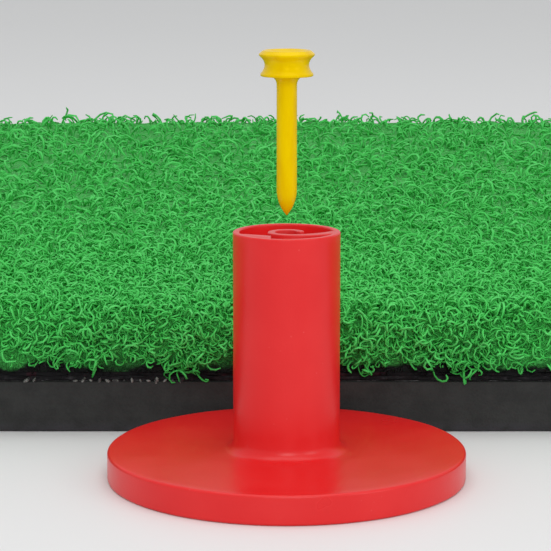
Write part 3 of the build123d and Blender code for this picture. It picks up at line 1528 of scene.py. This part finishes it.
@dataclass
class TurfPile:
    """The pile: a lumpy bed of packed tufts, and the loose curls that stand out of it.

    Curls are finest and closest together at the front by the holder, and give way smoothly to fewer and
    larger ones over the rest of the mat.
    """

    place: Place
    bed_below_top: float = 1.7 * MM
    bed_inset: float = 1.0 * MM
    shoulder: float = 4.0 * MM
    grid: float = 1.6 * MM
    hole_shoulder: float = 2.0 * MM
    hole_gap: float = 1.0 * MM
    lump: float = 0.8 * MM
    lump_size: float = 7 * MM
    small_lump_size: float = 2.9 * MM
    lump_fade: float = 3 * MM
    spread_across: float = 66 * MM
    spread_back: float = 45 * MM
    fibre_radius: float = 0.2 * MM
    root_depth: float = 0.9 * MM
    bare_foot: float = 2.0 * MM
    bare_wave: float = 6 * MM
    zones: tuple[CurlZone, ...] = (
        CurlZone("near", 2.25e6, 1.0, 7, 20, 7, 0.14, 1.0, (0.5, 1.15)),
        CurlZone("mid", 0.33e6, 1.2, 6, 12, 5, 0.31, 3.6, (0.6, 1.1)),
        CurlZone("far", 0.070e6, 1.7, 6, 12, 3, 0.31, math.inf, (0.5, 0.9)),
    )

    def build(self, bed: Finish, fibre: Finish) -> list[bpy.types.Object]:
        """Builds the bed and the strips of curls.

        Args:
            bed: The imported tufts' finish.
            fibre: The loose curls' finish.

        Returns:
            The bed, and then the strips.
        """
        packed = self._bed(bed.material())
        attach(packed, "mat")
        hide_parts("turf_pile")
        pieces = [packed]
        material = fibre.material()
        tree = ScatterTree("Turf curls", Spread.SURFACE)
        inner_fade = 0.0
        for number, zone in enumerate(self.zones):
            ground = self._ground(packed, zone, inner_fade)
            curls = self._curls(zone, 71 + number)
            width = 2 * zone.reach / zone.strips
            for strip in range(zone.strips):
                piece = tree.scatter(
                    f"turf_{zone.name}_{strip + 1}",
                    ground,
                    {
                        "West": -zone.reach + strip * width,
                        "East": -zone.reach + (strip + 1) * width,
                        "Smallest": 0.75,
                        "Largest": 1.2,
                        "Lean": 1.0,
                        "Seed": 100 * (number + 1) + strip,
                        "Shapes": len(curls.objects),
                        "Collection": curls,
                        "Material": material,
                    },
                )
                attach(piece, "mat")
                pieces.append(piece)
            drop_collection(curls)
            bpy.data.meshes.remove(ground)
            inner_fade = zone.fade
        return pieces

    def _bed(self, material: bpy.types.Material) -> bpy.types.Object:
        """The bed: one sheet draped over the mat's shoulders and into its hole, closed underneath.

        Args:
            material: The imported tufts' finish.

        Returns:
            The bed.
        """
        low, high = self.place.turf_low, self.place.turf_high
        top = high.z - self.bed_below_top
        drop = top - low.z
        arc = self.shoulder * math.pi / 2
        side = drop - self.shoulder
        half = [size / 2 - self.bed_inset - self.shoulder for size in (high.x - low.x, high.y - low.y)]
        reach = arc + side
        columns = [int(round(2 * (h + reach) / self.grid)) for h in half]
        axes = [np.linspace(-h - reach, h + reach, c + 1) for h, c in zip(half, columns)]
        gx, gy = np.meshgrid(axes[0], axes[1], indexing="ij")
        past = [np.sign(g) * np.maximum(np.abs(g) - h, 0) for g, h in zip((gx, gy), half)]
        excess = np.stack(past, -1)
        run = np.linalg.norm(excess, axis=-1)
        beyond = run > reach * 1.0001
        out, down = self._drape(np.minimum(run, reach), self.shoulder)
        unit = excess / np.maximum(run, 1e-12)[..., None]
        x = np.clip(gx, -half[0], half[0]) + unit[..., 0] * out
        y = np.clip(gy, -half[1], half[1]) + unit[..., 1] * out
        z = top - down
        # The sheet runs down the hole's wall in the same way, from a lip outside its radius.
        lip = self.place.hole_radius + self.hole_shoulder
        from_hole = np.stack([gx - self.place.hole.x, gy - self.place.hole.y], -1)
        distance = np.linalg.norm(from_hole, axis=-1)
        run = np.maximum(lip - distance, 0)
        hole_reach = self.hole_shoulder * math.pi / 2 + drop - self.hole_shoulder
        stretch = hole_reach / (lip - self.hole_gap)
        inward, down = self._drape(np.minimum(run * stretch, hole_reach), self.hole_shoulder)
        into = distance < lip
        unit = from_hole / np.maximum(distance, 1e-9)[..., None]
        x = np.where(into, self.place.hole.x + unit[..., 0] * (lip - inward), x)
        y = np.where(into, self.place.hole.y + unit[..., 1] * (lip - inward), y)
        z = np.where(into, top - down, z)
        gone = beyond | (run * stretch > hole_reach)
        return self._bed_mesh(np.stack([x, y, z], -1), gone, low.z, top, material)

    @staticmethod
    def _drape(run: np.ndarray, radius: float) -> tuple[np.ndarray, np.ndarray]:
        """Lays a sheet over a shoulder.

        Args:
            run: How far along the sheet each point is, from where the shoulder starts.
            radius: The shoulder's radius.

        Returns:
            How far out and how far down each point has gone.
        """
        angle = np.minimum(run / radius, math.pi / 2)
        down = radius * (1 - np.cos(angle)) + np.maximum(run - radius * math.pi / 2, 0)
        return radius * np.sin(angle), down

    def _bed_mesh(
        self, points: np.ndarray, gone: np.ndarray, floor: float, top: float, material: bpy.types.Material
    ) -> bpy.types.Object:
        """Makes the draped sheet lumpy, cuts away what it doesn't reach and closes it underneath.

        Args:
            points: The sheet's grid of places.
            gone: True where the grid is past the sheet's edge.
            floor: The height of the sheet's lower edge.
            top: The height of its flat part.
            material: Its finish.

        Returns:
            The bed, with its attribute "height", a share of painted light that is lower down its sides and in
            its low lumps.
        """
        rows, columns = gone.shape
        number = np.arange(rows * columns).reshape(rows, columns)
        kept = ~(gone[:-1, :-1] & gone[1:, :-1] & gone[1:, 1:] & gone[:-1, 1:])
        quads = np.stack([number[:-1, :-1], number[1:, :-1], number[1:, 1:], number[:-1, 1:]], -1)[kept]
        used, packed = np.unique(quads, return_inverse=True)
        corners = points.reshape(-1, 3)[used]
        bed = mesh_object("turf_bed", corners.tolist(), packed.reshape(-1, 4).tolist(), material)
        # Painted light: each corner's share is lower down the bed's sides and in its low lumps, where the
        # tufts lie in shade.
        painted_light_shares = []
        for place in corners.tolist():
            depth = (top - place[2]) / (top - floor)
            lumps = self._lumps(Vector(place))
            painted_light_shares.append(max(0.0, min(1.0, 0.85 + 0.30 * lumps - 0.85 * depth**2)))
        fade = self.lump_fade
        displace(bed, lambda place: self.lump * self._lumps(place) * min(1.0, (place.z - floor) / fade))
        bed.data.attributes.new("height", "FLOAT", "POINT").data.foreach_set("value", painted_light_shares)
        form = bmesh.new()
        form.from_mesh(bed.data)
        rim = [edge for edge in form.edges if edge.is_boundary]
        bmesh.ops.triangle_fill(form, edges=rim, use_beauty=False, normal=(0, 0, -1))
        bmesh.ops.recalc_face_normals(form, faces=form.faces)
        form.to_mesh(bed.data)
        form.free()
        return bed

    def _lumps(self, place: Vector) -> float:
        """How high the bed's tufts stand at a place, about 0."""
        small = noise.noise(place / self.small_lump_size + Vector((5, 1, 9)))
        return noise.noise(place / self.lump_size) + 0.65 * small

    def _ground(self, bed: bpy.types.Object, zone: CurlZone, inner_fade: float) -> bpy.types.Mesh:
        """A copy of the bed that says how crowded and how large one zone's curls are at its corners.

        Args:
            bed: The bed.
            zone: The zone.
            inner_fade: The fade of the finer zone before it, or 0.

        Returns:
            The copy, with attributes "crowd" and "girth".
        """
        ground = bed.data.copy()
        count = len(ground.vertices)
        flat = np.empty(count * 3)
        ground.vertices.foreach_get("co", flat)
        x, y, z = flat.reshape(-1, 3).T
        behind = np.maximum(y - self.place.turf_low.y, 0) / self.spread_back
        apart = np.hypot((x - self.place.holder.x) / self.spread_across, behind)
        share = self._share(apart, zone.fade) - self._share(apart, inner_fade)
        ragged = np.array([noise.noise(Vector(place) / self.bare_wave) for place in zip(x, y, z * 0)])
        bare = z < self.place.turf_low.z + self.bare_foot * (1 + 1.6 * ragged)
        crowd = zone.crowd * np.where(bare, 0, share)
        for name, values in (("crowd", crowd), ("girth", 1 + 0.05 * np.minimum(apart, 3))):
            ground.attributes.new(name, "FLOAT", "POINT").data.foreach_set("value", values)
        return ground

    @staticmethod
    def _share(apart: np.ndarray, fade: float) -> np.ndarray:
        """1 at the front by the holder, falling to 0 well past a fade distance."""
        return np.exp(-((apart / fade) ** 2)) if fade > 0 else np.zeros_like(apart)

    def _curls(self, zone: CurlZone, seed: int) -> bpy.types.Collection:
        """A few curled fibres: short uneven helices that rise, open and bend over.

        Args:
            zone: The zone they are for.
            seed: The random seed.

        Returns:
            The collection.
        """
        rng = np.random.default_rng(seed)
        shapes = []
        for _ in range(zone.variants):
            coil = rng.uniform(0.55, 1.1) * MM * zone.size
            height = rng.uniform(1.8, 3.3) * MM * zone.size**0.5
            turns = rng.uniform(*zone.turns) * rng.choice((-1, 1))
            phase = rng.uniform(0, math.tau)
            drift = rng.uniform(-1.1, 1.1, 2) * MM
            line = []
            for step in range(zone.segments + 1):
                t = step / zone.segments
                angle = phase + math.tau * turns * t
                open_up = coil * (0.5 + 0.7 * t)
                x = open_up * math.cos(angle) + drift[0] * t * t
                y = open_up * math.sin(angle) + drift[1] * t * t
                z = height * math.sin(0.66 * math.pi * t) - self.root_depth * zone.size
                line.append(Vector((x, y, z)))
            shapes.append(tube(line, self.fibre_radius * (1 + 0.6 * (zone.size - 1)), 3))
        return shape_collection(f"{zone.name}_curls", shapes)


# --- The tee holder and the tee -----------------------------------------------------------------


@dataclass
class TeeHolder:
    """The rubber tee holder: foot, hollow tube, and the gripper curled in the tube's mouth."""

    place: Place
    foot_thickness: float = 5.0 * MM
    foot_edge: float = 0.5 * MM
    tube_fillet: float = 1.8 * MM
    hollow_radius: float = 6.9 * MM
    web_bottom: float = 37.5 * MM
    rim_inner: float = 7.9 * MM
    rim_edge: float = 0.26 * MM
    recess: float = 2.7 * MM
    eye_radius: float = 1.9 * MM
    tongue_thickness: float = 1.2 * MM
    tongue_below_rim: float = 0.1 * MM
    root_angle: float = -15.0
    root_spread: float = 25.0
    decay: float = 38.0
    turn: float = 325.0
    wedge_start: float = 195.0
    wedge_step: tuple[float, float] = (-2.6 * MM, -4.3 * MM)
    overlap: float = 0.4 * MM
    root_depth: float = 0.3 * MM
    wedge_below_rim: float = 0.05 * MM
    lip_round: float = 0.14 * MM
    mouth_round: float = 0.35 * MM
    recess_round: float = 0.3 * MM
    eye_round: float = 0.2 * MM
    web_round: float = 0.4 * MM
    longest_run: float = 1.6 * MM
    warp_size: float = 11 * MM
    warp_depth: float = 0.05 * MM
    crisp_angle: float = 40.0
    segments: int = 192

    def build(self, finish: Finish) -> list[bpy.types.Object]:
        """Builds the moulding.

        Args:
            finish: The rubber's finish.

        Returns:
            The holder, as the only piece.
        """
        material = finish.material()
        top = self.place.holder_height
        corners = [
            (self.hollow_radius, 0.0, self.mouth_round),
            (self.place.foot_radius, 0.0, self.foot_edge),
            (self.place.foot_radius, self.foot_thickness, self.foot_edge),
            (self.place.tube_radius, self.foot_thickness, self.tube_fillet),
            (self.place.tube_radius, top, self.rim_edge),
            (self.rim_inner, top, self.rim_edge),
            (self.rim_inner, top - self.recess, self.recess_round),
            (self.eye_radius, top - self.recess, self.eye_round),
            (self.eye_radius, self.web_bottom, self.eye_round),
            (self.hollow_radius, self.web_bottom, self.web_round),
        ]
        profile = resampled(rounded_profile(corners), self.longest_run, closed=True)
        body = lathe("holder_body", profile, self.place.holder, self.segments, material, closed=True)
        wobble(body, self.warp_size, self.warp_depth, 4.2)
        tongue = self._rise(self._tongue(), top - self.tongue_below_rim, material)
        wedge = self._rise(self._wedge(), top - self.wedge_below_rim, material)
        piece = joined("tee_holder_moulding", [body, tongue, wedge], material)
        piece.data.shade_smooth()
        sharpen(piece, self.crisp_angle)
        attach(piece, "holder")
        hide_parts("tee_holder")
        return [piece]

    def _side(self, final: float, first_turn: float, count: int = 44) -> Profile:
        """Points along one side of the tongue, from inside the rim's wall to its tip.

        Args:
            final: The radius that the side closes in on.
            first_turn: The turn, in degrees past the root, at which it leaves the wall.
            count: How many points.

        Returns:
            The points about the holder's axis.
        """
        reach = self.rim_inner - final
        start = first_turn - self.decay * self.overlap / reach
        points = []
        for index in range(count):
            turn = start + (self.turn - start) * index / (count - 1)
            radius = final + reach * math.exp(-(turn - first_turn) / self.decay)
            angle = math.radians(self.root_angle - turn)
            points.append((radius * math.cos(angle), radius * math.sin(angle)))
        return points

    def _tongue(self) -> Profile:
        """The tongue's outline, with a round tip."""
        outer = self._side(self.eye_radius + self.tongue_thickness, 0.0)
        inner = self._side(self.eye_radius, -self.root_spread)
        middle = [(a + b) / 2 for a, b in zip(outer[-1], inner[-1])]
        ray = [a - b for a, b in zip(outer[-1], middle)]
        tip = []
        for step in range(1, 6):
            angle = -math.pi * step / 6
            x = middle[0] + ray[0] * math.cos(angle) - ray[1] * math.sin(angle)
            y = middle[1] + ray[0] * math.sin(angle) + ray[1] * math.cos(angle)
            tip.append((x, y))
        return outer + tip + inner[::-1]

    def _wedge(self) -> Profile:
        """The wedge's outline: an arc inside the wall, and a nearly straight inner side."""
        wall = self.rim_inner + self.overlap
        step_x, step_y = self.wedge_step
        end = math.degrees(math.atan2(-math.sqrt(wall**2 - step_x**2), step_x)) % 360
        turns = [math.radians(self.wedge_start + (end - self.wedge_start) * k / 16) for k in range(17)]
        arc = [(wall * math.cos(turn), wall * math.sin(turn)) for turn in turns]
        return arc + [(step_x, step_y)]

    def _rise(self, outline: Profile, height: float, material: bpy.types.Material) -> bpy.types.Object:
        """Raises an outline from below the recess's floor, and rounds its upper edge.

        Args:
            outline: Points about the holder's axis.
            height: How high it stands above the holder's foot.
            material: Its finish.

        Returns:
            The raised piece.
        """
        form = bmesh.new()
        start = self.place.holder_height - self.recess - self.root_depth
        base = [form.verts.new(self.place.holder + Vector((x, y, start))) for x, y in outline]
        face = form.faces.new(base)
        raised = bmesh.ops.extrude_face_region(form, geom=[face])
        upper = [item for item in raised["geom"] if isinstance(item, bmesh.types.BMVert)]
        bmesh.ops.translate(form, verts=upper, vec=(0, 0, height - start))
        bmesh.ops.recalc_face_normals(form, faces=form.faces)
        level = self.place.holder.z + height
        crowns = [edge for edge in form.edges if all(abs(v.co.z - level) < LEVEL for v in edge.verts)]
        shape = {"segments": 3, "profile": 0.5, "affect": "EDGES", "clamp_overlap": True}
        bmesh.ops.bevel(form, geom=crowns, offset=self.lip_round, **shape)
        return object_from(form, "rise", material)


@dataclass
class Tee:
    """The short spool-headed tee."""

    place: Place
    stem_radius: float = 1.7 * MM
    point_length: float = 4.3 * MM
    head_height: float = 4.3 * MM
    head_fillet: float = 1.35 * MM
    lower_edge: float = 0.40 * MM
    upper_edge: float = 0.80 * MM
    lower_flange: float = 4.4 * MM
    upper_flange: float = 4.65 * MM
    waist: float = 3.7 * MM
    waist_below_top: float = 2.5 * MM
    cup_radius: float = 3.7 * MM
    cup_depth: float = 0.9 * MM
    lip_width: float = 0.3 * MM
    lip_drop: float = 0.15 * MM
    tip_radius: float = 0.12 * MM
    longest_run: float = 1.5 * MM
    warp_size: float = 3.2 * MM
    warp_depth: float = 0.035 * MM
    crisp_angle: float = 50.0
    segments: int = 128

    def build(self, finish: Finish) -> list[bpy.types.Object]:
        """Builds the tee, from its point up and over into its cup.

        Args:
            finish: The plastic's finish.

        Returns:
            The tee, as the only piece.
        """
        length = self.place.tee_high.z - self.place.tee_low.z
        foot = Vector((self.place.holder.x, self.place.holder.y, self.place.tee_low.z))
        profile = self._point() + self._head(length) + self._cup(length)
        piece = lathe("tee_moulding", profile, foot, self.segments, finish.material(), closed=False)
        wobble(piece, self.warp_size, self.warp_depth, 8.8)
        sharpen(piece, self.crisp_angle)
        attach(piece, "tee")
        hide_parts("tee")
        return [piece]

    def _point(self) -> Profile:
        """The point, an ogive that ends along the stem, as (radius, height) from the tip up."""
        count = 16
        curve = (self.point_length**2 + self.stem_radius**2) / (2 * self.stem_radius)
        points = [(0.0, 0.0)]
        for index in range(1, count + 1):
            height = self.point_length * (index / count) ** 1.3
            width = self.stem_radius - curve + math.sqrt(curve**2 - (self.point_length - height) ** 2)
            points.append((max(width, self.tip_radius * (index / count) ** 0.3), height))
        return points

    def _head(self, length: float) -> Profile:
        """The stem, the flare under the head, and the spool.

        Args:
            length: The tee's length.

        Returns:
            (radius, height) points from the stem up.
        """
        under = length - self.head_height
        corners = [
            (self.stem_radius, self.point_length, 0.0),
            (self.stem_radius, under, self.head_fillet),
            (self.lower_flange, under, 0.22 * MM),
            (self.lower_flange, under + self.lower_edge, 0.1 * MM),
            (self.waist, length - self.waist_below_top, 0.0),
        ]
        lower = resampled(rounded_profile(corners)[:-1], self.longest_run, closed=False)
        spool = []
        start, end = under + self.lower_edge, length - self.upper_edge - 0.1 * MM
        for index in range(1, 20):
            share = index / 20
            flange = self.lower_flange + (self.upper_flange - self.lower_flange) * share
            radius = self.waist + (flange - self.waist) * abs(2 * share - 1) ** 2.1
            spool.append((radius, start + (end - start) * share))
        return lower[1:] + spool

    def _cup(self, length: float) -> Profile:
        """The upper flange's edge, and the dish that the ball sits in.

        Args:
            length: The tee's length.

        Returns:
            (radius, height) points from the flange over the lip to the axis.
        """
        lip = self.cup_radius
        edge = rounded_profile(
            [
                (self.upper_flange, length - self.upper_edge, 0.0),
                (self.upper_flange - 0.02 * MM, length - self.upper_edge + 0.2 * MM, 0.15 * MM),
                (lip + 0.2 * MM, length, 0.3 * MM),
                (lip - self.lip_width, length - self.lip_drop, 0.0),
            ]
        )
        dish = []
        for index in range(1, 13):
            share = index / 12
            drop = self.lip_drop + (self.cup_depth - self.lip_drop) * (1 - (1 - share) ** 2)
            dish.append(((lip - self.lip_width) * (1 - share), length - drop))
        return edge + dish


# --- The studio ---------------------------------------------------------------------------------


@dataclass
class Studio:
    """The camera, the pale floor and soft light."""

    place: Place
    camera_offset: tuple[float, float, float] = (-1.75 * MM, -374.7 * MM, 100.8 * MM)
    camera_down: float = 10.005
    camera_left: float = 0.018
    lens: float = 148.4
    floor_size: float = 8.0
    light_target: tuple[float, float, float] = (0.0, 0.05, 0.03)
    room: Colour = (0.99, 1.0, 1.0)
    room_strength: float = 0.66

    def build(self) -> None:
        """Sets up all of it."""
        self._camera()
        self._floor()
        self._lights()

    def _camera(self) -> None:
        """A long lens close to the holder, looking a little down."""
        camera = bpy.data.cameras.new("camera")
        camera.lens = self.lens
        camera.sensor_width = 36.0
        camera.clip_start = 0.01
        stand = linked("camera", camera)
        stand.location = self.place.holder + Vector(self.camera_offset)
        stand.rotation_euler = (math.radians(90.0 - self.camera_down), 0.0, math.radians(self.camera_left))
        bpy.context.scene.camera = stand

    def _floor(self) -> None:
        """One large pale sheet at floor level."""
        half = self.floor_size / 2
        corners = [(-half, -half, 0), (half, -half, 0), (half, half, 0), (-half, half, 0)]
        floor = mesh_object("floor", corners, [(0, 1, 2, 3)], StudioPaper("studio paper").material())

    def _lights(self) -> None:
        """A wide softbox overhead, a lower one in front, and an even room light."""
        self._softbox("top_softbox", (0.0, -0.10, 0.95), 0.9, 3.2)
        self._softbox("front_softbox", (0.05, -0.95, 0.55), 0.5, 2.4)
        self._softbox("right_softbox", (0.75, -0.55, 0.4), 0.4, 1.1)
        world = bpy.data.worlds.new("room")
        world.use_nodes = True
        background = world.node_tree.nodes["Background"].inputs
        background["Color"].default_value = (*self.room, 1.0)
        background["Strength"].default_value = self.room_strength
        bpy.context.scene.world = world
        bpy.context.scene.view_settings.view_transform = "Standard"

    def _softbox(self, name: str, offset: tuple[float, float, float], size: float, power: float) -> None:
        """A square area light that faces the holder.

        Args:
            name: Its name.
            offset: Where it stands, from the holder.
            size: Its side in metres.
            power: Its power in watts.
        """
        light = bpy.data.lights.new(name, "AREA")
        light.size = size
        light.energy = power
        stand = linked(name, light)
        target = self.place.holder + Vector(self.light_target)
        stand.location = self.place.holder + Vector(offset)
        stand.rotation_euler = (target - stand.location).to_track_quat("-Z", "Y").to_euler()


# --- Everything ---------------------------------------------------------------------------------


def main() -> None:
    """Builds the pieces round the frame."""
    logging.basicConfig(level=logging.INFO, format="%(message)s")
    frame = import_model()
    place = Place.from_frame(frame)
    Studio(place).build()
    pieces = FoamBase(place).build(CutFoam("cut foam"))
    latex, weave, glue = SetLatex("set latex"), BackingWeave("backing weave"), DriedGlue("dried glue")
    pieces += Backing(place).build(latex, weave, glue)
    pieces += TurfPile(place).build(TurfBed("turf bed"), TurfFibre("turf fibre"))
    pieces += TeeHolder(place).build(MouldedRubber("red rubber"))
    pieces += Tee(place).build(MouldedPlastic("yellow plastic"))
    for piece in pieces:
        log.info("%s: %d faces", piece.name, len(piece.data.polygons))


if __name__ == "__main__":
    main()
